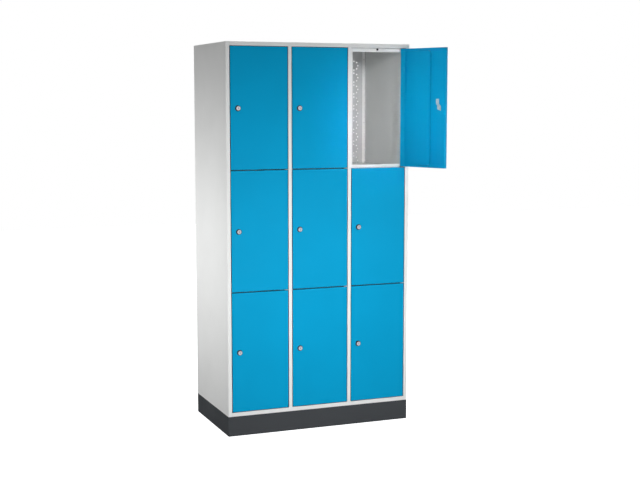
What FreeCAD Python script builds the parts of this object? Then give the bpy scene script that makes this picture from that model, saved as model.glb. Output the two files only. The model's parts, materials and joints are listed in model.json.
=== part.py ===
"""Nine-compartment steel locker: three columns of three lockers, hung doors on pivot pins, cam locks.

Frame: millimetres, +X to the right seen from the front, +Y to the back, +Z up.
The origin is the centre of the plinth's footprint, on the floor.
"""

import FreeCAD, Part
import math
import os

import Sketcher

DRIVING = {
    # overall
    "total_width": 980.0,
    "total_depth": 550.0,
    "total_height": 1950.0,
    "plinth_height": 100.0,
    "column_pitch": 320.0,
    "sheet": 1.0,
    "bend_radius": 0.9,
    # front frame
    "post_width": 18.0,
    "rail_height": 20.0,
    "stop_depth": 20.0,
    "stop_lip": 15.0,
    "lip_return": 8.5,
    "top_stop": 20.0,
    "shelf_front": 30.0,
    "shelf_drop": 20.0,
    "shelf_skirt": 14.0,
    "return_flange": 20.0,
    # doors
    "side_gap": 3.5,
    "end_gap": 2.5,
    "door_thickness": 17.0,
    "door_edge_radius": 1.2,
    "hinge_inset_x": 8.0,
    "hinge_inset_y": 5.0,
    "hinge_flange": 30.0,
    "lock_flange": 27.0,
    "end_flange": 9.0,
    "open_angle": 113.0,
    # hat-shaped stiffener inside each door
    "stiffener_width": 84.0,
    "stiffener_depth": 12.0,
    "stiffener_foot": 10.0,
    "stiffener_end": 3.0,
    "stiffener_corner": 15.0,
    # pivot pins and the plates that carry them between two doors
    "pin_radius": 2.5,
    "pin_clearance": 0.05,
    "pin_reach": 8.0,
    "bracket_width": 20.0,
    "bracket_thickness": 1.6,
    # cam lock
    "lock_inset": 38.0,
    "collar_radius": 12.8,
    "collar_front_radius": 11.8,
    "collar_height": 8.0,
    "barrel_radius": 9.5,
    "barrel_length": 19.0,
    "plug_radius": 7.0,
    "face_radius": 10.2,
    "lock_clearance": 0.05,
    "cam_length": 46.0,
    "cam_width": 18.0,
    "cam_sheet": 2.0,
    "cam_crank": 10.0,
    # back panel
    "vent_radius": 3.75,
    "vent_ring": 24.0,
    "vent_file_offset": 100.0,
    "vent_row_pitch": 65.0,
    "vent_top": 94.0,
    # rubber buffers and rivets
    "buffer_radius": 5.0,
    "buffer_height": 2.8,
    "rivet_radius": 2.0,
    "rivet_head": 4.0,
    "rivet_margin": 40.0,
    # plinth and levelling feet
    "plinth_sheet": 1.5,
    "foot_radius": 16.0,
    "foot_inset": 60.0,
}

COLUMNS = ("left", "centre", "right")
ROWS = ("bottom", "middle", "top")
VENT_ROWS = 27
VENT_HOLES = 8
RIVETS_PER_SEAM = 6

doc = FreeCAD.newDocument("locker")
sheet = doc.addObject("Spreadsheet::Sheet", "sizes")
for line, (alias, value) in enumerate(DRIVING.items(), start=1):
    sheet.set(f"A{line}", alias)
    sheet.set(f"B{line}", str(value))
    sheet.setAlias(f"B{line}", alias)

# Worked-out sizes are formulas in the same sheet, so every part can name them.
DERIVED = {
    "half_width": "=total_width / 2",
    "half_depth": "=total_depth / 2",
    "front": "=-total_depth / 2",
    "stop_plane": "=-total_depth / 2 + stop_depth",
    "inner_low": "=plinth_height + rail_height",
    "inner_high": "=total_height - rail_height",
    "row_pitch": "=(total_height - 2 * rail_height - plinth_height) / 3",
    "outer_post": "=(total_width - 3 * column_pitch + post_width) / 2",
    "door_width": "=column_pitch - post_width - 2 * side_gap",
    "door_height": "=(total_height - 2 * rail_height - plinth_height) / 3 - 2 * end_gap",
    "door_left": "=-(column_pitch - post_width - 2 * side_gap - hinge_inset_x)",
    "skin_inside": "=sheet - hinge_inset_y",
    "door_rear": "=door_thickness - hinge_inset_y",
    "lock_x": "=-(column_pitch - post_width - 2 * side_gap - hinge_inset_x) + lock_inset",
    "lock_z": "=((total_height - 2 * rail_height - plinth_height) / 3 - 2 * end_gap) / 2",
    "barrel_end": "=barrel_length - hinge_inset_y",
}
for line, (alias, formula) in enumerate(DERIVED.items(), start=len(DRIVING) + 1):
    sheet.set(f"A{line}", alias)
    sheet.set(f"B{line}", formula)
    sheet.setAlias(f"B{line}", alias)
doc.recompute()


def size(alias):
    """A cell's number, for the few places that need it in code."""
    return float(getattr(sheet, alias))


def bound(text):
    """An expression in cell aliases, rewritten so that FreeCAD finds each alias in the sheet."""
    words = []
    word = ""
    for letter in str(text) + " ":
        if letter.isalnum() or letter == "_" or letter == ".":
            word += letter
            continue
        words.append(f"sizes.{word}" if word in DRIVING or word in DERIVED else word)
        words.append(letter)
        word = ""
    return "".join(words).strip()


def bind(thing, **expressions):
    """Bind properties to expressions."""
    for name, text in expressions.items():
        thing.setExpression(name, bound(text))
    return thing


# Turns a solid drawn along +Z so that it runs along +Y.
BACKWARDS = FreeCAD.Rotation(FreeCAD.Vector(1, 0, 0), -90)


def place(thing, x, y, z):
    """Bind where an object stands."""
    thing.setExpression("Placement.Base.x", bound(x))
    thing.setExpression("Placement.Base.y", bound(y))
    thing.setExpression("Placement.Base.z", bound(z))
    return thing


def box(x, y, z, length, width, height):
    """A bound box with its lowest corner at (x, y, z)."""
    thing = doc.addObject("Part::Box", "block")
    bind(thing, Length=length, Width=width, Height=height)
    return place(thing, x, y, z)


def rod(x, y, z, radius, length, along="z"):
    """A bound cylinder from (x, y, z) towards +Y or +Z."""
    thing = doc.addObject("Part::Cylinder", "rod")
    if along == "y":
        thing.Placement.Rotation = BACKWARDS
    bind(thing, Radius=radius, Height=length)
    return place(thing, x, y, z)


def cone(x, y, z, start_radius, end_radius, length):
    """A bound cone frustum from (x, y, z) towards +Y."""
    thing = doc.addObject("Part::Cone", "taper")
    thing.Placement.Rotation = BACKWARDS
    bind(thing, Radius1=start_radius, Radius2=end_radius, Height=length)
    return place(thing, x, y, z)


def hexagon(x, y, z, corner_radius, length):
    """A bound six-sided prism from (x, y, z) towards +Y."""
    thing = doc.addObject("Part::Prism", "hexagon")
    thing.Polygon = 6
    thing.Placement.Rotation = BACKWARDS
    bind(thing, Circumradius=corner_radius, Height=length)
    return place(thing, x, y, z)


def folded_strip(profile, x, z, width):
    """A PartDesign body: a closed side profile, as bound (Y, Z) corners, padded by the width along +X."""
    body = doc.addObject("PartDesign::Body", "strip")
    sketch = body.newObject("Sketcher::SketchObject", "profile")
    sketch.AttachmentSupport = [(next(f for f in body.Origin.OriginFeatures if f.Role == "YZ_Plane"), "")]
    sketch.MapMode = "FlatFace"
    count = len(profile)
    ring = [FreeCAD.Vector(math.cos(2 * math.pi * k / count), math.sin(2 * math.pi * k / count), 0)
            for k in range(count)]
    for k in range(count):
        sketch.addGeometry(Part.LineSegment(ring[k], ring[(k + 1) % count]), False)
    for k in range(count):
        sketch.addConstraint(Sketcher.Constraint("Coincident", k, 2, (k + 1) % count, 1))
    for k, corner in enumerate(profile):
        for kind, text in zip(("DistanceX", "DistanceY"), corner):
            number = sketch.addConstraint(Sketcher.Constraint(kind, -1, 1, k, 1, 1.0))
            sketch.setExpression(f"Constraints[{number}]", bound(text))
    pad = body.newObject("PartDesign::Pad", "width")
    pad.Profile = sketch
    bind(pad, Length=width)
    return place(body, x, "0", z)


def fuse(*things):
    """Solids that touch joined into one, with the seams between flush faces removed."""
    joined = doc.addObject("Part::MultiFuse", "joined")
    joined.Shapes = list(things)
    joined.Refine = True
    return joined


def group(*things):
    """Solids that stay apart, as one object."""
    together = doc.addObject("Part::Compound", "group")
    together.Links = list(things)
    return together


def cut(base, *tools):
    """The base with every tool taken away."""
    result = doc.addObject("Part::Cut", "cut")
    result.Base = base
    result.Tool = tools[0] if len(tools) == 1 else group(*tools)
    return result


def rounded(base, radius, chosen=None):
    """The base with its edges rounded: all of them, or those whose direction and middle the test accepts."""
    doc.recompute()
    edges = []
    for number, edge in enumerate(base.Shape.Edges, start=1):
        direction = edge.Vertexes[-1].Point - edge.Vertexes[0].Point
        if chosen is None or chosen(direction, edge.CenterOfMass):
            edges.append((number, size(radius), size(radius)))
    result = doc.addObject("Part::Fillet", "rounded")
    result.Base = base
    result.Edges = edges
    return result


def front_bend(direction, middle):
    """Whether an edge is a long upright bend in the front plane."""
    return abs(direction.z) > size("row_pitch") and abs(middle.y - size("front")) < 0.01


def top_edge(_direction, middle):
    """Whether an edge lies in the top face."""
    return abs(middle.z - size("total_height")) < 0.01


def corner_edge(direction, middle):
    """Whether an edge is one of the four upright outer corners."""
    return abs(direction.z) > 1 and abs(abs(middle.x) - size("half_width")) < 0.01


PARTS = []


def finish(thing, label):
    """Name an object as a sub-part."""
    thing.Label = label
    PARTS.append(thing)
    return thing


# ---------------------------------------------------------------- places shared by several parts


def boundary(index):
    """X of the line between two columns; 0 and 3 are the virtual lines inside the outer posts."""
    return f"({index} - 1.5) * column_pitch"


def level(row):
    """Z of the lower end of a row of lockers."""
    return f"inner_low + {row} * row_pitch"


def rivet_heights():
    """Heights of the rivets on each vertical seam of the back panel."""
    return [
        f"inner_low + rivet_margin + {k} / {RIVETS_PER_SEAM - 1} * (inner_high - inner_low - 2 * rivet_margin)"
        for k in range(RIVETS_PER_SEAM)
    ]


def seam_lines():
    """X of the four vertical rivet lines: both side panels and both partitions."""
    return [
        "-half_width + return_flange / 2 + sheet",
        f"{boundary(1)} + return_flange / 2",
        f"{boundary(2)} + return_flange / 2",
        "half_width - return_flange / 2 - sheet",
    ]


RIVET_DEPTH = "half_depth - 2 * sheet"
holes_by_seam = [
    group(*[rod(x, f"{RIVET_DEPTH} - sheet", z, "rivet_radius", "4 * sheet", "y") for z in rivet_heights()])
    for x in seam_lines()
]


# ---------------------------------------------------------------- carcass


def lip_return(edge_x):
    """The stop lip's edge folded back, which the tip of a turned cam bears against."""
    return box(f"{edge_x} - sheet", "stop_plane", "inner_low", "sheet", "lip_return", "inner_high - inner_low")


def side_panel(side):
    """Outer wall folded at the front into a hollow corner post, and at the back into a rivet flange."""
    left = side == "left"
    skin_x = "-half_width" if left else "half_width - sheet"
    post_x = "-half_width" if left else "half_width - outer_post"
    inner_x = "-half_width + outer_post - sheet" if left else "half_width - outer_post"
    closing = "outer_post + stop_lip" if left else "outer_post"
    rear_x = "-half_width" if left else "half_width - return_flange"
    height = "total_height - sheet - plinth_height"
    panel = fuse(
        box(skin_x, "front", "plinth_height", "sheet", "total_depth", height),
        box(post_x, "front", "plinth_height", "outer_post", "sheet", height),
        box(inner_x, "front", "inner_low", "sheet", "stop_depth", "inner_high - inner_low"),
        box(post_x, "stop_plane", "inner_low", closing, "sheet", "inner_high - inner_low"),
        *([lip_return("-half_width + outer_post + stop_lip")] if left else []),
        box(rear_x, RIVET_DEPTH, "inner_low - rail_height + 2 * sheet", "return_flange", "sheet",
            "inner_high - inner_low + 2 * rail_height - 4 * sheet"),
    )
    return cut(rounded(panel, "bend_radius", front_bend), holes_by_seam[0 if left else 3])


def partition(index):
    """Wall between two columns: a hollow front post with a stop lip for the door on its right."""
    middle = boundary(index)
    half_post = "post_width / 2"
    height = "inner_high - inner_low"
    wall = fuse(
        box(f"{middle} - {half_post}", "front", "inner_low", "post_width", "sheet", height),
        box(f"{middle} - {half_post}", "front", "inner_low", "sheet", "stop_depth", height),
        box(f"{middle} + {half_post} - sheet", "front", "inner_low", "sheet", "stop_depth", height),
        box(f"{middle} - {half_post}", "stop_plane", "inner_low", "post_width + stop_lip", "sheet", height),
        lip_return(f"{middle} + {half_post} + stop_lip"),
        box(f"{middle} - sheet / 2", "stop_plane + sheet", "inner_low", "sheet",
            "half_depth - sheet - stop_plane - sheet", "total_height - sheet - inner_low"),
        box(f"{middle} - sheet / 2", RIVET_DEPTH, "inner_low", "return_flange", "sheet",
            "total_height - sheet - inner_low - rail_height"),
    )
    return cut(rounded(wall, "bend_radius", front_bend), holes_by_seam[index])


def opening_left(column):
    """X of the free edge of the stop lip, on the lock side of a column."""
    return f"{boundary(column)} + post_width / 2 + stop_lip"


def opening_right(column):
    """X of the post's wall, on the hinge side of a column."""
    return f"{boundary(column + 1)} - post_width / 2"


def hinge_x(column):
    """X of the pivot axis of a column of doors."""
    return f"{opening_right(column)} - side_gap - hinge_inset_x"


HINGE_Y = "front + hinge_inset_y"


def stop_strip(column, z, height):
    """A strip behind the doors, between a stop lip and the next post."""
    left = opening_left(column)
    return box(left, "stop_plane", z, f"{opening_right(column)} - ({left})", "sheet", height)


def top_panel():
    """Roof sheet with a front rail, a fold that holds the top pins, stop strips and a rear flange."""
    rail_x = "-half_width + outer_post"
    rail = "total_width - 2 * outer_post"
    panel = fuse(
        box("-half_width", "front", "total_height - sheet", "total_width", "total_depth", "sheet"),
        box(rail_x, "front", "inner_high", rail, "sheet", "rail_height"),
        box(rail_x, "front", "inner_high", rail, "stop_depth + sheet", "sheet"),
        *[stop_strip(c, "inner_high - top_stop", "top_stop + sheet") for c in range(3)],
    )
    pin_holes = [rod(hinge_x(c), HINGE_Y, "inner_high - sheet", "pin_radius", "3 * sheet") for c in range(3)]
    return cut(rounded(panel, "bend_radius", top_edge), *pin_holes)


def bottom_panel():
    """Floor sheet with a front rail, raised stop strips and holes for the lowest pins."""
    rail_x = "-half_width + outer_post"
    rail = "total_width - 2 * outer_post"
    low = "inner_low - sheet"
    panel = fuse(
        box("-half_width + sheet", "stop_plane", low, "total_width - 2 * sheet",
            "total_depth - stop_depth - 2 * sheet", "sheet"),
        box(rail_x, "front", low, rail, "stop_depth", "sheet"),
        box(rail_x, "front", "plinth_height", rail, "sheet", "rail_height"),
        *[stop_strip(c, low, "shelf_front / 2 + sheet") for c in range(3)],
    )
    return cut(panel, *[rod(hinge_x(c), HINGE_Y, f"{low} - sheet", "pin_radius", "3 * sheet") for c in range(3)])


def shelf(column, row):
    """Floor of an upper locker: a sheet with its sides and back turned down, behind a deep front flange.

    The flange stands above the sheet as a lip, and below it as the stop for the door underneath.
    """
    seam = level(row)
    top = f"{seam} + shelf_front / 2 - shelf_drop - sheet"
    left = f"{boundary(column)} + sheet / 2" if column else "-half_width + sheet"
    right = f"{boundary(column + 1)} - sheet / 2" if column < 2 else "half_width - sheet"
    wide = f"{right} - ({left})"
    deep = "half_depth - 2 * sheet - stop_plane - sheet"
    plate = box(left, "stop_plane + sheet", top, wide, deep, "sheet")
    skirt = box(left, "stop_plane + sheet", f"{top} - shelf_skirt", wide, deep, "shelf_skirt")
    hollow = box(f"{left} + sheet", "stop_plane", f"{top} - 2 * shelf_skirt", f"{wide} - 2 * sheet", deep,
                 "2 * shelf_skirt")
    notch = box(f"{opening_left(column)} - 1.5 * sheet", "stop_plane + sheet", f"{top} - 2 * shelf_skirt",
                "2 * sheet", "lip_return", "3 * shelf_skirt")
    tray = cut(fuse(plate, cut(skirt, hollow)), notch)
    return fuse(tray, stop_strip(column, f"{seam} - shelf_front / 2", "shelf_front"))


def vent_holes():
    """Centres of the ventilation holes: rings of eight, in two files behind each column of lockers."""
    highest = size("total_height") - size("vent_top")
    for column, side in ((c, s) for c in (-1, 0, 1) for s in (-1, 1)):
        ring_x = column * size("column_pitch") + side * size("vent_file_offset")
        for row in range(VENT_ROWS):
            ring_z = highest - row * size("vent_row_pitch")
            for hole in range(VENT_HOLES):
                angle = 2 * math.pi * hole / VENT_HOLES
                yield ring_x + size("vent_ring") * math.cos(angle), ring_z + size("vent_ring") * math.sin(angle)


def back_panel():
    """Rear sheet, punched all over with rings of ventilation holes in one stroke, riveted on from behind."""
    y = size("half_depth") - size("sheet")
    half = size("half_width") - size("sheet")
    low = size("plinth_height") + size("sheet")
    high = size("total_height") - size("sheet")
    corners = [FreeCAD.Vector(x, y, z) for x, z in ((-half, low), (half, low), (half, high), (-half, high))]
    outline = Part.makePolygon(corners + corners[:1])
    backwards = FreeCAD.Vector(0, 1, 0)
    holes = [(x, z, size("vent_radius")) for x, z in vent_holes()]
    doc.recompute()
    for seam in holes_by_seam:
        holes += [(hole.Placement.Base.x, hole.Placement.Base.z, size("rivet_radius")) for hole in seam.Links]
    circles = [Part.Circle(FreeCAD.Vector(x, y, z), backwards, radius) for x, z, radius in holes]
    punched = doc.addObject("Part::Feature", "punched")
    punched.Shape = Part.Face([outline] + [Part.Wire([c.toShape()]) for c in circles]).extrude(
        backwards * size("sheet"))
    return punched


def plinth():
    """Closed base frame, flush with the body, with a flange turned inwards at the top."""
    inset = "plinth_sheet"
    wide = "total_width - 2 * plinth_sheet"
    deep = "total_depth - 2 * plinth_sheet"
    block = box("-half_width", "front", "0", "total_width", "total_depth", "plinth_height")
    hollow = box(f"-half_width + {inset}", f"front + {inset}", "-1", wide, deep, "plinth_height - plinth_sheet + 1")
    mouth = box("-half_width + return_flange", "front + return_flange + 2 * sheet", "1",
                "total_width - 2 * return_flange", "total_depth - 2 * return_flange - 4 * sheet", "plinth_height")
    return cut(rounded(block, "bend_radius", corner_edge), fuse(hollow, mouth))


def levelling_foot(sign_x, sign_y):
    """Screw with a pad, hung from the floor sheet inside a corner of the plinth."""
    x = f"{sign_x} * (half_width - foot_inset)"
    y = f"{sign_y} * (half_depth - foot_inset)"
    pad = rod(x, y, "0", "foot_radius", "6")
    screw = rod(x, y, "5", "5", "inner_low - sheet - 5")
    nut = rod(x, y, "inner_low - sheet - 8", "9", "8")
    return fuse(pad, screw, nut)


def hinge_bracket(column, row):
    """Plate in the gap between two doors, welded to the post and to the stop strip."""
    return cut(
        box(f"{opening_right(column)} - bracket_width", "front + sheet", f"{level(row)} - bracket_thickness / 2",
            "bracket_width", "stop_depth - sheet", "bracket_thickness"),
        rod(hinge_x(column), HINGE_Y, f"{level(row)} - 2 * sheet", "pin_radius", "4 * sheet"),
    )


def hinge_pin(column, row):
    """Pin through a plate, reaching into the door above and the door below."""
    if row == 0:
        return fuse(
            rod(hinge_x(column), HINGE_Y, "inner_low - 3 * sheet", "1.5 * pin_radius", "2 * sheet"),
            rod(hinge_x(column), HINGE_Y, "inner_low - sheet", "pin_radius", "sheet + end_gap + pin_reach"),
        )
    if row == 3:
        return fuse(
            rod(hinge_x(column), HINGE_Y, "inner_high - end_gap - pin_reach", "pin_radius",
                "sheet + end_gap + pin_reach"),
            rod(hinge_x(column), HINGE_Y, "inner_high + sheet", "1.5 * pin_radius", "2 * sheet"),
        )
    return rod(hinge_x(column), HINGE_Y, f"{level(row)} - end_gap - pin_reach", "pin_radius",
               "2 * (end_gap + pin_reach)")


def door_buffer(column, row):
    """Rubber button on the stop strip above each opening, which the shut door rests against."""
    middle = f"{boundary(column)} + column_pitch / 2"
    z = f"{level(row + 1)} - buffer_radius - 3 * sheet"
    return rod(middle, "stop_plane - buffer_height", z, "buffer_radius", "buffer_height", "y")


def rivet(x, z):
    """Blind rivet through the back panel and the flange in front of it."""
    return fuse(
        rod(x, "half_depth", z, "rivet_head", "sheet", "y"),
        rod(x, RIVET_DEPTH, z, "rivet_radius", "2 * sheet", "y"),
        rod(x, f"{RIVET_DEPTH} - 1.5 * sheet", z, "1.4 * rivet_radius", "1.5 * sheet", "y"),
    )


for side in ("left", "right"):
    finish(side_panel(side), f"{side}_side_panel")
finish(partition(1), "left_partition")
finish(partition(2), "right_partition")
finish(back_panel(), "back_panel")
finish(top_panel(), "top_panel")
finish(bottom_panel(), "bottom_panel")
finish(group(*[shelf(c, r) for c in range(3) for r in (1, 2)]), "shelves")
finish(plinth(), "plinth")
finish(group(*[levelling_foot(sx, sy) for sx in (-1, 1) for sy in (-1, 1)]), "levelling_feet")
finish(group(*[hinge_bracket(c, r) for c in range(3) for r in (1, 2)]), "hinge_brackets")
finish(group(*[hinge_pin(c, r) for c in range(3) for r in range(4)]), "hinge_pins")
finish(group(*[door_buffer(c, r) for c in range(3) for r in range(3)]), "door_buffers")
finish(group(*[rivet(x, z) for x in seam_lines() for z in rivet_heights()]), "rivets")


# ---------------------------------------------------------------- doors
# Each is drawn with its pivot axis as the local Z axis and its lower end at zero, shut.


def hang(thing, column, row, label):
    """Stand a door's piece on its pivot axis; the door of the top right locker stands open."""
    place(thing, hinge_x(column), HINGE_Y, f"{level(row)} + end_gap")
    if (COLUMNS[column], ROWS[row]) == ("right", "top"):
        thing.Placement.Rotation = FreeCAD.Rotation(FreeCAD.Vector(0, 0, 1), size("open_angle"))
        thing.setExpression("Placement.Rotation.Angle", "sizes.open_angle")
    return finish(thing, label)


def door_panel():
    """Sheet pan: a skin with four edges and flanges turned in behind it."""
    pan = rounded(
        box("door_left", "-hinge_inset_y", "0", "door_width", "door_thickness", "door_height"), "door_edge_radius"
    )
    hollow = box("door_left + sheet", "skin_inside", "sheet", "door_width - 2 * sheet", "door_thickness - 2 * sheet",
                 "door_height - 2 * sheet")
    window = box("door_left + lock_flange", "door_rear - 2 * sheet", "end_flange",
                 "door_width - lock_flange - hinge_flange", "3 * sheet", "door_height - 2 * end_flange")
    pin_radius = "pin_radius + pin_clearance"
    return cut(
        pan,
        fuse(hollow, window),
        rod("lock_x", "-2 * hinge_inset_y", "lock_z", "barrel_radius", "2 * hinge_inset_y", "y"),
        rod("0", "0", "-sheet", pin_radius, "3 * sheet"),
        rod("0", "0", "door_height - 2 * sheet", pin_radius, "3 * sheet"),
    )


def upright(direction, _middle):
    """Whether an edge runs through the door's thickness."""
    return abs(direction.y) > 1 and abs(direction.x) < 0.01 and abs(direction.z) < 0.01


def stiffener():
    """Pressed hat section down the middle of the door, welded on by its feet."""
    middle = "door_left + door_width / 2"
    crown_low = "end_flange + stiffener_end"
    crown_high = "door_height - 2 * end_flange - 2 * stiffener_end"
    crown = rounded(
        box(f"{middle} - stiffener_width / 2", "skin_inside", crown_low, "stiffener_width", "stiffener_depth",
            crown_high), "stiffener_corner", upright)
    hollow = box(f"{middle} - stiffener_width / 2 + sheet", "skin_inside - 1", f"{crown_low} + sheet",
                 "stiffener_width - 2 * sheet", "stiffener_depth - sheet + 1", f"{crown_high} - 2 * sheet")
    foot = box(f"{middle} - stiffener_width / 2 - stiffener_foot", "skin_inside", "end_flange",
               "stiffener_width + 2 * stiffener_foot", "sheet", "door_height - 2 * end_flange")
    return cut(fuse(crown, foot), rounded(hollow, "stiffener_corner", upright))


def lock_housing():
    """Collar and barrel pushed in from the front, and the nut that holds it from behind."""
    front = "-hinge_inset_y - collar_height"
    collar = cone("lock_x", front, "lock_z", "collar_front_radius", "collar_radius", "collar_height")
    barrel = rod("lock_x", "-hinge_inset_y", "lock_z", "barrel_radius", "barrel_length", "y")
    bore = rod("lock_x", f"{front} - 1", "lock_z", "plug_radius + lock_clearance", "barrel_length + collar_height + 2",
               "y")
    recess = rod("lock_x", f"{front} - 1", "lock_z", "face_radius + lock_clearance", "1 + 1.5 * sheet", "y")
    nut = hexagon("lock_x", "skin_inside", "lock_z", "1.4 * barrel_radius", "5 * sheet")
    threaded = rod("lock_x", "skin_inside - 1", "lock_z", "barrel_radius", "6 * sheet", "y")
    return group(cut(fuse(collar, barrel), bore, recess), cut(nut, threaded))


def lock_plug():
    """Turning plug: a bright face with the keyway, a shank through the barrel and a square end for the cam."""
    front = "-hinge_inset_y - collar_height"
    face = rod("lock_x", f"{front} - 0.3 * sheet", "lock_z", "face_radius", "1.75 * sheet", "y")
    shank_start = f"{front} + 1.45 * sheet"
    shank = rod("lock_x", shank_start, "lock_z", "plug_radius", f"barrel_end - ({shank_start}) + lock_clearance", "y")
    square_half = "plug_radius / 2"
    square = box(f"lock_x - {square_half}", "barrel_end", f"lock_z - {square_half}", "plug_radius",
                 "lock_clearance + cam_sheet", "plug_radius")
    keyway = box("lock_x - 0.9 * sheet", f"{front} - 1", "lock_z - 4.5 * sheet", "1.8 * sheet", "12 * sheet",
                 "9 * sheet")
    return cut(fuse(face, shank, square), keyway)


def cam():
    """Cranked strip on the plug's square, which turns behind the stop lip; a hexagon screw holds it."""
    hub_y = "barrel_end + lock_clearance"
    half = "cam_width / 2"
    crank_low = "0.7 * cam_width"
    crank_high = f"({crank_low} + cam_crank)"
    profile = [
        (hub_y, "0"),
        (hub_y, crank_low),
        (f"{hub_y} + cam_crank", crank_high),
        (f"{hub_y} + cam_crank", "cam_length"),
        (f"{hub_y} + cam_crank + cam_sheet", "cam_length"),
        (f"{hub_y} + cam_crank + cam_sheet", f"{crank_high} - 0.4 * cam_sheet"),
        (f"{hub_y} + cam_sheet", f"{crank_low} - 0.4 * cam_sheet"),
        (f"{hub_y} + cam_sheet", "0"),
    ]
    strip = folded_strip(profile, f"lock_x - {half}", "lock_z", "cam_width")
    hub = fuse(rod("lock_x", hub_y, "lock_z", half, "cam_sheet", "y"), strip)
    square_half = "plug_radius / 2"
    square = box(f"lock_x - {square_half}", f"{hub_y} - 1", f"lock_z - {square_half}", "plug_radius",
                 "cam_sheet + 2", "plug_radius")
    washer = rod("lock_x", f"{hub_y} + cam_sheet", "lock_z", "0.45 * cam_width", "sheet", "y")
    screw = hexagon("lock_x", f"{hub_y} + cam_sheet + sheet", "lock_z", "5.8 * sheet", "3 * sheet")
    return group(cut(hub, square), fuse(washer, screw))


DOOR_PIECES = {
    "door": door_panel(),
    "stiffener": stiffener(),
    "lock_housing": lock_housing(),
    "lock_plug": lock_plug(),
    "lock_cam": cam(),
}
for column, column_name in enumerate(COLUMNS):
    for row, row_name in enumerate(ROWS):
        for kind, piece in DOOR_PIECES.items():
            hang(group(piece), column, row, f"{kind}_{column_name}_{row_name}")

doc.recompute()

for thing in doc.Objects:
    if "Invalid" in thing.State or "Error" in thing.State:
        raise RuntimeError(f"{thing.Name} ({thing.Label}) is {thing.State}")
for thing in PARTS:
    if thing.Shape.isNull() or not thing.Shape.isValid() or not thing.Shape.Solids:
        raise RuntimeError(f"{thing.Label} has no valid solid")

os.makedirs("parts", exist_ok=True)
for thing in PARTS:
    thing.Shape.exportStep(f"parts/{thing.Label}.step")
print(len(PARTS), "sub-parts written")
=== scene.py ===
"""Looks of a steel compartment locker with nine doors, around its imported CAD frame. Metres, +Z up."""

import json
import math

import bmesh
import bpy
from mathutils import Matrix, Vector


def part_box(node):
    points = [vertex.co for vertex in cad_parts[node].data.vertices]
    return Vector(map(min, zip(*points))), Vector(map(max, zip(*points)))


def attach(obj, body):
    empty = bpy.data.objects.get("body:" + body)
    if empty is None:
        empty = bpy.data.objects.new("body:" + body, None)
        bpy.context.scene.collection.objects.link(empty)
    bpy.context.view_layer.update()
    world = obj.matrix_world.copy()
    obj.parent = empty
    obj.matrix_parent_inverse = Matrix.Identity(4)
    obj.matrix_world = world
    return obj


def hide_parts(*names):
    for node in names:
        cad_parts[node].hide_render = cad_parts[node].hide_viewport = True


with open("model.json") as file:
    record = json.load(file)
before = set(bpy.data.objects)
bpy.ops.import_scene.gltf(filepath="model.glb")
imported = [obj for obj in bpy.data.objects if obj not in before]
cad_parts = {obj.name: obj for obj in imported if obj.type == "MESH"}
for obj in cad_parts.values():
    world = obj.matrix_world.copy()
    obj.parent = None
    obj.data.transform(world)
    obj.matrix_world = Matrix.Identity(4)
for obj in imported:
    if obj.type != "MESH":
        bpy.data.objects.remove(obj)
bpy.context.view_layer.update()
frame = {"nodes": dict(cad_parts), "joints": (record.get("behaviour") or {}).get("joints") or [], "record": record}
nodes = frame["nodes"]
joints = {joint["name"]: joint for joint in frame["joints"]}

MM = 0.001
COLUMNS = ("left", "centre", "right")
ROWS = ("bottom", "middle", "top")
LOCKERS = [f"{column}_{row}" for column in COLUMNS for row in ROWS]


# ---- Shader nodes ----
# A material here is anything with a node tree, the world among them.

def new_material(name, **values):
    """A Principled material; each value goes to the socket of that name, with _ for a space."""
    made = bpy.data.materials.new(name)
    made.use_nodes = True
    shader = made.node_tree.nodes["Principled BSDF"]
    for socket, value in values.items():
        shader.inputs[socket.replace("_", " ")].default_value = value
    return made


def feed(material, socket, value):
    """Sets a socket to a value, or leads another node's output to it."""
    if isinstance(value, bpy.types.NodeSocket):
        material.node_tree.links.new(value, socket)
    else:
        socket.default_value = value


def add(material, kind, inputs=(), **settings):
    """A node of that kind. inputs pairs a socket with a value or with another node's output."""
    node = material.node_tree.nodes.new(kind)
    for setting, value in settings.items():
        setattr(node, setting, value)
    for socket, value in inputs:
        feed(material, node.inputs[socket], value)
    return node


def shade(material, socket, value):
    """Feeds a socket of the material's shader."""
    feed(material, material.node_tree.nodes["Principled BSDF"].inputs[socket], value)


def grains(material, size, detail=2.0):
    """Noise from 0 to 1 with grains of about that size, in the piece's own space, so that it moves along."""
    where = add(material, "ShaderNodeTexCoord").outputs["Object"]
    return add(material, "ShaderNodeTexNoise",
               [("Vector", where), ("Scale", 1 / size), ("Detail", detail)]).outputs["Fac"]


def remap(material, value, low, high, start=0.35, stop=0.65):
    """Maps start to stop, by default the middle part of noise, to the range low to high."""
    return add(material, "ShaderNodeMapRange", [("Value", value), ("From Min", start), ("From Max", stop),
                                                ("To Min", low), ("To Max", high)]).outputs["Result"]


def combine(material, operation, first, second):
    """Sum or product of two numbers or outputs."""
    return add(material, "ShaderNodeMath", [(0, first), (1, second)], operation=operation).outputs["Value"]


def blend_colours(material, factor, first, second):
    """First colour where factor is 0, second where it is 1. Each is a colour or an output."""
    mix = add(material, "ShaderNodeMix", [(0, factor), (6, first), (7, second)], data_type="RGBA")
    return mix.outputs[2]


def tint(colour, share):
    """The colour, lighter where share is over 1 and darker where it is under."""
    return tuple(min(1.0, part * share) for part in colour[:3]) + (1.0,)


def bump(material, height, depth, strength=1.0):
    """Relief of that depth, led to the shader."""
    relief = add(material, "ShaderNodeBump",
                 [("Height", height), ("Distance", depth), ("Strength", strength)])
    shade(material, "Normal", relief.outputs["Normal"])


# ---- Finishes ----

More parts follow.
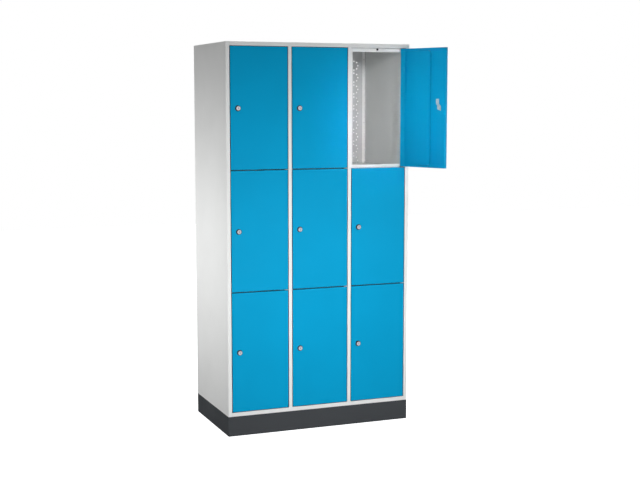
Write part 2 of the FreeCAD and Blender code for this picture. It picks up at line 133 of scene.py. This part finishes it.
# Near black painted into gaps and corners as painted shade.
PAINTED_SHADE = (0.001, 0.012, 0.030, 1.0)
PAINT_CLOUD, PAINT_SMUDGE, PAINT_SPECK, PAINT_PEEL = 0.28, 0.075, 1.6 * MM, 2.6 * MM
PAINT_EDGE, PAINT_EDGE_PATCH, PAINT_SHADE_REACH = 1.2 * MM, 0.035, 12 * MM
METAL_PATCH, METAL_SHADE_REACH = 6 * MM, 6 * MM
RUBBER_GRAIN, RUBBER_RELIEF = 0.6 * MM, 0.05 * MM


def edge_mask(material, radius):
    """1 on sharp outer edges and corners, 0 on flats."""
    flat, sharp = 0.98, 0.80
    rounded = add(material, "ShaderNodeBevel", [("Radius", radius)], samples=4).outputs["Normal"]
    true_normal = add(material, "ShaderNodeNewGeometry").outputs["Normal"]
    turn = add(material, "ShaderNodeVectorMath", [(0, rounded), (1, true_normal)], operation="DOT_PRODUCT")
    return remap(material, turn.outputs["Value"], 0.0, 1.0, flat, sharp)


def painted_shade_mask(material, reach):
    """1 on open faces, falling to 0 in gaps and corners narrower than reach, where shade is painted in."""
    shut, open_face = 0.20, 0.72
    openness = add(material, "ShaderNodeAmbientOcclusion", [("Distance", reach)], samples=8).outputs["AO"]
    return remap(material, openness, 0.0, 1.0, shut, open_face)


def powder_coat(name, colour, rough, relief, **gloss):
    """Stove-dried powder paint: orange peel, faint cloudiness, hand smudges in the gloss, thin pale edges, and
    painted shade darkening its gaps and corners.
    """
    paint = new_material(name, IOR=1.5, **gloss)
    cloud = remap(paint, grains(paint, PAINT_CLOUD), 0, 1)
    speck = remap(paint, grains(paint, PAINT_SPECK, 1.0), 0, 1)
    base = blend_colours(paint, cloud, tint(colour, 0.98), tint(colour, 1.02))
    base = blend_colours(paint, remap(paint, speck, 0.0, 0.10, 0, 1), base, tint(colour, 1.25))
    edge_patch = remap(paint, grains(paint, PAINT_EDGE_PATCH), 0.0, 0.55)
    wear = combine(paint, "MULTIPLY", edge_mask(paint, PAINT_EDGE), edge_patch)
    unshaded = blend_colours(paint, wear, base, tint(colour, 1.35))
    # Painted shade: near black blended in where gaps and corners hide the faces.
    shade(paint, "Base Color", blend_colours(paint, painted_shade_mask(paint, PAINT_SHADE_REACH), PAINTED_SHADE, unshaded))
    smudge = remap(paint, grains(paint, PAINT_SMUDGE, 4.0), rough - 0.05, rough + 0.06)
    fleck = remap(paint, speck, -0.02, 0.02, 0, 1)
    shade(paint, "Roughness", combine(paint, "ADD", smudge, fleck))
    bump(paint, grains(paint, PAINT_PEEL, 1.0), relief, 0.6)
    return paint


def plated(name, colour, rough, scratch_size, relief):
    """Plated metal with fine scratches, a slightly dulled tone in patches, and painted shade darkening its gaps
    and corners.
    """
    metal = new_material(name, Metallic=1.0)
    patch = remap(metal, grains(metal, METAL_PATCH, 3.0), 0, 1)
    unshaded = blend_colours(metal, patch, tint(colour, 0.90), tint(colour, 1.05))
    # Painted shade: near black blended in where gaps and corners hide the faces.
    shade(metal, "Base Color", blend_colours(metal, painted_shade_mask(metal, METAL_SHADE_REACH), PAINTED_SHADE, unshaded))
    fine = grains(metal, scratch_size, 4.0)
    shade(metal, "Roughness", remap(metal, fine, rough - 0.07, rough + 0.10))
    bump(metal, fine, relief)
    return metal


def moulded_rubber(name, colour):
    """Matt rubber with a fine grain."""
    made = new_material(name)
    grain = grains(made, RUBBER_GRAIN, 3.0)
    tone = blend_colours(made, remap(made, grain, 0, 1), tint(colour, 0.8), tint(colour, 1.3))
    shade(made, "Base Color", tone)
    shade(made, "Roughness", remap(made, grain, 0.62, 0.82))
    bump(made, grain, RUBBER_RELIEF)
    return made


body_paint = powder_coat("body_paint", (0.82, 0.83, 0.82), rough=0.42, relief=0.030 * MM,
                         Specular_IOR_Level=0.3)
# A darker copy of the body paint for the back panel: painted shade for the dimmer perforated back wall inside the
# lockers.
shaded_back_paint = powder_coat("shaded_back_paint", (0.58, 0.59, 0.60), rough=0.46, relief=0.030 * MM,
                         Specular_IOR_Level=0.3)
door_paint = powder_coat("door_paint", (0.002, 0.322, 0.593), rough=0.40, relief=0.035 * MM,
                         Specular_IOR_Level=0.3, Specular_Tint=(0.2, 0.75, 1.0, 1.0))
plinth_paint = powder_coat("plinth_paint", (0.064, 0.069, 0.075), rough=0.60, relief=0.040 * MM,
                           Specular_IOR_Level=0.01)
nickel = plated("nickel", (0.63, 0.61, 0.65), rough=0.28, scratch_size=1.2 * MM, relief=0.004 * MM)
zinc = plated("zinc", (0.72, 0.72, 0.70), rough=0.36, scratch_size=2.0 * MM, relief=0.010 * MM)
yellow_zinc = plated("yellow_zinc", (0.74, 0.66, 0.50), rough=0.34, scratch_size=1.4 * MM, relief=0.006 * MM)
rubber = moulded_rubber("rubber", (0.020, 0.020, 0.021))

FINISHES = {
    "body_paint": body_paint,
    "door_paint": door_paint,
    "plinth_paint": plinth_paint,
    "nickel": nickel,
    "zinc": zinc,
    "rubber": rubber,
}


# ---- CAD nodes ----

SHEET_EDGE = 0.35 * MM
UNSOFTENED = ("back_panel", "rivets", "door_buffers")


def soften(thing, width, turn=40):
    """Joins the mesh's split edges and rounds those over turn degrees, as folded and deburred sheet has."""
    weld = thing.modifiers.new("join", "WELD")
    weld.merge_threshold = 0.005 * MM
    bevel = thing.modifiers.new("edges", "BEVEL")
    bevel.width = width
    bevel.segments = 2
    bevel.limit_method = "ANGLE"
    bevel.angle_limit = math.radians(turn)
    bevel.harden_normals = False
    normals = thing.modifiers.new("normals", "WEIGHTED_NORMAL")
    normals.keep_sharp = False


for part in frame["record"]["subparts"]:
    node = nodes[part["node"]]
    # The back panel takes the darker copy of the body paint, which is painted shade.
    finish = shaded_back_paint if part["node"] == "back_panel" else FINISHES[part["material_slot"]]
    node.data.materials.clear()
    node.data.materials.append(finish)
    if part["node"] not in UNSOFTENED:
        soften(node, SHEET_EDGE)


# ---- Locks and welds ----
# In a lock's own frame x leads to the door's hinge, y inwards and z up, and y is 0 in the plane of the
# hinge pins. Lathe profiles are (radius, y) in millimetres.

DOOR_FACE, DOOR_INSIDE = -5.0, -4.0
BORE = 7.05
COLLAR = [(BORE, -11.5), (8.9, -11.5), (8.9, -12.8), (9.1, -13.0), (9.8, -13.0), (10.1, -12.85),
          (10.2, -12.5), (10.2, DOOR_FACE), (BORE, DOOR_FACE)]
# The dark rubber ring round each collar is partly a real ring and partly painted shadow: it stands in for the
# collar's shadow on the door.
GASKET = [(10.25, -11.6), (11.6, -11.6), (12.2, -11.1), (14.2, -5.8), (14.2, DOOR_FACE), (10.25, DOOR_FACE)]
NUT = [(9.55, DOOR_INSIDE), (12.1, DOOR_INSIDE), (13.3, -3.3), (13.3, 0.3), (12.1, 1.0), (9.9, 1.0),
       (9.55, 0.7)]
NUT_FLAT = 11.5
CREST, ROOT, THREAD_PITCH, THREAD_TURNS = 9.5, 8.95, 1.5, 11
BARREL_END = 14.0
WELD = [(0.001, -0.10), (3.0, -0.10), (3.2, 0.02), (2.7, 0.22), (2.1, 0.10), (0.001, 0.06)]
WELD_ROWS, WELD_MARGIN, FOOT_MIDDLE, FOOT_REAR = 9, 22 * MM, 5 * MM, -3 * MM
LATHE_STEPS, WELD_STEPS = 72, 20


def barrel_profile():
    """Threaded tube from the door's face to the cam, with a chamfered end."""
    outer = [(CREST, DOOR_FACE)]
    for turn in range(THREAD_TURNS):
        start = DOOR_INSIDE + 0.6 + turn * THREAD_PITCH
        outer += [(CREST, start), (ROOT, start + 0.55), (ROOT, start + 0.8), (CREST, start + 1.35)]
    inner = [(7.4, BARREL_END), (BORE, BARREL_END - 0.3), (BORE, DOOR_FACE)]
    return outer + [(CREST, BARREL_END - 0.5), (9.0, BARREL_END)] + inner


def lock_place(locker):
    """Matrix from the locker's lock frame to the object's frame."""
    joint = joints[f"lock_{locker}_turn"]
    outward = Vector(joint["axis"]).normalized()
    up = Vector((0, 0, 1))
    turn = Matrix((up.cross(outward), -outward, up)).transposed()
    return Matrix.Translation(joint["pos_m"]) @ turn.to_4x4()


def turned(shape, profile, steps, centre=(0, 0, 0), flat=None):
    """Adds a closed profile turned about y. With flat, a hexagon's half width, its outside is six-sided."""
    rings = []
    for step in range(steps):
        angle = math.tau * step / steps
        to_flat = (angle + math.pi / 6) % (math.pi / 3) - math.pi / 6
        ring = []
        for radius, y in profile:
            if flat and radius > flat:
                radius = min(radius, flat / math.cos(to_flat))
            point = Vector((radius * math.cos(angle), y, radius * math.sin(angle))) * MM
            ring.append(shape.verts.new(Vector(centre) + point))
        rings.append(ring)
    for here, after in zip(rings, rings[1:] + rings[:1]):
        for low in range(len(profile)):
            high = (low + 1) % len(profile)
            shape.faces.new((here[low], here[high], after[high], after[low]))


def finished(name, shape, place, material, turn=30):
    """Object of that shape at a place, smooth but for edges sharper than turn degrees."""
    bmesh.ops.remove_doubles(shape, verts=shape.verts, dist=0.0005 * MM)
    bmesh.ops.recalc_face_normals(shape, faces=shape.faces)
    for face in shape.faces:
        face.smooth = True
    for edge in shape.edges:
        edge.smooth = edge.calc_face_angle(math.pi) < math.radians(turn)
    mesh = bpy.data.meshes.new(name)
    shape.to_mesh(mesh)
    shape.free()
    mesh.materials.append(material)
    piece = bpy.data.objects.new(name, mesh)
    piece.matrix_world = place
    bpy.context.scene.collection.objects.link(piece)
    return piece


def lock_piece(kind, locker, profile, material, flat=None):
    """One turned piece of a locker's lock, moving with its door."""
    shape = bmesh.new()
    turned(shape, profile, LATHE_STEPS, flat=flat)
    piece = finished(f"{kind}_{locker}", shape, lock_place(locker), material)
    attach(piece, f"door_{locker}")
    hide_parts(f"lock_housing_{locker}")


def weld_marks(locker, low, high):
    """Rows of spot welds along both feet of the door's stiffener, between two corners in the lock's frame."""
    shape = bmesh.new()
    for x in (low.x + FOOT_MIDDLE, high.x - FOOT_MIDDLE):
        for row in range(WELD_ROWS):
            share = row / (WELD_ROWS - 1)
            z = low.z + WELD_MARGIN + share * (high.z - low.z - 2 * WELD_MARGIN)
            turned(shape, WELD, WELD_STEPS, (x, FOOT_REAR, z))
    marks = finished(f"weld_marks_{locker}", shape, lock_place(locker), door_paint, 60)
    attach(marks, f"door_{locker}")


# Every door is alike in its lock's frame, so one closed door's box serves for all of them.
first_lock = lock_place(LOCKERS[0]).inverted()
stiffener_low, stiffener_high = (first_lock @ Vector(corner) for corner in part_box(f"stiffener_{LOCKERS[0]}"))
for locker in LOCKERS:
    lock_piece("lock_collar", locker, COLLAR, nickel)
    lock_piece("lock_barrel", locker, barrel_profile(), yellow_zinc)
    lock_piece("lock_nut", locker, NUT, yellow_zinc, flat=NUT_FLAT)
    # Dark ring round the collar, partly standing in for the collar's shadow on the door.
    lock_piece("lock_gasket", locker, GASKET, rubber)
    weld_marks(locker, stiffener_low, stiffener_high)


# ---- Studio ----

FLOOR_SIZE, FLOOR_GAP, FLOOR_GLOW, FLOOR_GREY = 20, 1 * MM, 1.14, (0.86, 0.86, 0.86)
CAMERA_PLACE, CAMERA_LENS, CAMERA_SENSOR = (-2.280, -5.968, 1.668), 68.85, 36
CAMERA_DIP, CAMERA_TURN = 6.52, -21.82


def studio_white(name, colour, glow):
    """Plain pale matt surface that also glows, as lit paper does."""
    made = new_material(name, Roughness=0.9, Emission_Strength=glow)
    tone = blend_colours(made, grains(made, 0.8), tint(colour, 0.995), tint(colour, 1.005))
    shade(made, "Base Color", tone)
    shade(made, "Emission Color", tone)
    return made


def plain_floor():
    """Large level sheet under the object, which neither lights it nor shows in its gloss."""
    mesh = bpy.data.meshes.new("floor")
    shape = bmesh.new()
    bmesh.ops.create_grid(shape, x_segments=4, y_segments=4, size=FLOOR_SIZE / 2)
    shape.to_mesh(mesh)
    shape.free()
    mesh.materials.append(studio_white("floor_white", FLOOR_GREY, FLOOR_GLOW))
    floor = bpy.data.objects.new("floor", mesh)
    floor.location.z = -FLOOR_GAP
    floor.visible_diffuse = False
    floor.visible_glossy = False
    bpy.context.scene.collection.objects.link(floor)


def softbox(name, place, aim, size, watts, fan=180, lean=0, glossy=False):
    """Area light of that width and height, turned to an aim, with its beam's fan and its lean in degrees."""
    lamp = bpy.data.lights.new(name, "AREA")
    lamp.shape = "RECTANGLE"
    lamp.size, lamp.size_y = size
    lamp.energy = watts
    lamp.spread = math.radians(fan)
    thing = bpy.data.objects.new(name, lamp)
    thing.visible_camera = False
    thing.visible_glossy = glossy
    thing.location = place
    facing = (Vector(aim) - Vector(place)).to_track_quat("-Z", "Y")
    thing.rotation_euler = (facing.to_matrix() @ Matrix.Rotation(math.radians(lean), 3, "Z")).to_euler()
    bpy.context.scene.collection.objects.link(thing)


def studio_world(seen, mirrored, lighting):
    """White surround, with a brightness each for the camera, for gloss and for the lighting of matt faces."""
    world = bpy.data.worlds.new("studio")
    world.use_nodes = True
    bpy.context.scene.world = world
    background = world.node_tree.nodes["Background"]
    background.inputs["Color"].default_value = (1, 1, 1, 1)
    path = add(world, "ShaderNodeLightPath")
    level = lighting
    for ray, strength in (("Is Glossy Ray", mirrored), ("Is Camera Ray", seen)):
        level = remap(world, path.outputs[ray], level, strength, 0.0, 1.0)
    feed(world, background.inputs["Strength"], level)


def eye_level_camera():
    """Camera to the front left of the object, looking a little down."""
    lens = bpy.data.cameras.new("camera")
    lens.lens = CAMERA_LENS
    lens.sensor_width = CAMERA_SENSOR
    camera = bpy.data.objects.new("camera", lens)
    camera.location = CAMERA_PLACE
    camera.rotation_euler = (math.radians(90 - CAMERA_DIP), 0, math.radians(CAMERA_TURN))
    bpy.context.scene.collection.objects.link(camera)
    bpy.context.scene.camera = camera


plain_floor()
studio_world(seen=1.0, mirrored=0.95, lighting=0.05)
# The doors, from the front left and the front right
softbox("key_box", (-2.2, -5.4, 2.6), (-0.05, -0.27, 0.72), (0.6, 0.6), watts=8.1, fan=40)
softbox("right_key", (2.4, -5.0, 2.9), (0.05, -0.27, 0.50), (0.8, 0.8), watts=3.2, fan=38)
softbox("front_strip", (0.4, -1.55, 0.95), (0.2, -0.275, 0.95), (3.0, 0.6), watts=7.7, lean=12)
softbox("low_strip", (-0.3, -3.2, 0.15), (0, -0.3, 0.7), (2.4, 0.5), watts=21)
# The inside of the open locker, and the open door
softbox("locker_box", (-0.7, -5.4, 2.2), (0.37, 0.0, 1.54), (0.3, 0.3), watts=0.32, fan=8)
softbox("door_box", (-3.6, -3.6, 2.0), (0.57, -0.52, 1.74), (0.4, 0.4), watts=0.47, fan=11)
# The left side, brightest halfway up
softbox("left_strip", (-1.6, 0.45, 1.00), (-0.49, 0.2, 1.00), (1.3, 0.5), watts=5.3, fan=152, glossy=True)
softbox("left_low", (-2.4, 0.2, 0.9), (-0.49, 0.1, 0.80), (1.6, 0.6), watts=2.6, fan=70)
# The back, the right side and the top
softbox("back_box", (2.6, 4.4, 2.2), (0.2, 0, 1.0), (2.0, 2.0), watts=150)
softbox("right_box", (4.6, 1.2, 1.7), (0.49, 0.1, 1.0), (1.6, 1.6), watts=52)
softbox("top_box", (0.2, 0.5, 4.6), (0.1, 0.1, 1.95), (1.6, 1.6), watts=40)
eye_level_camera()
bpy.context.scene.view_settings.view_transform = "Standard"
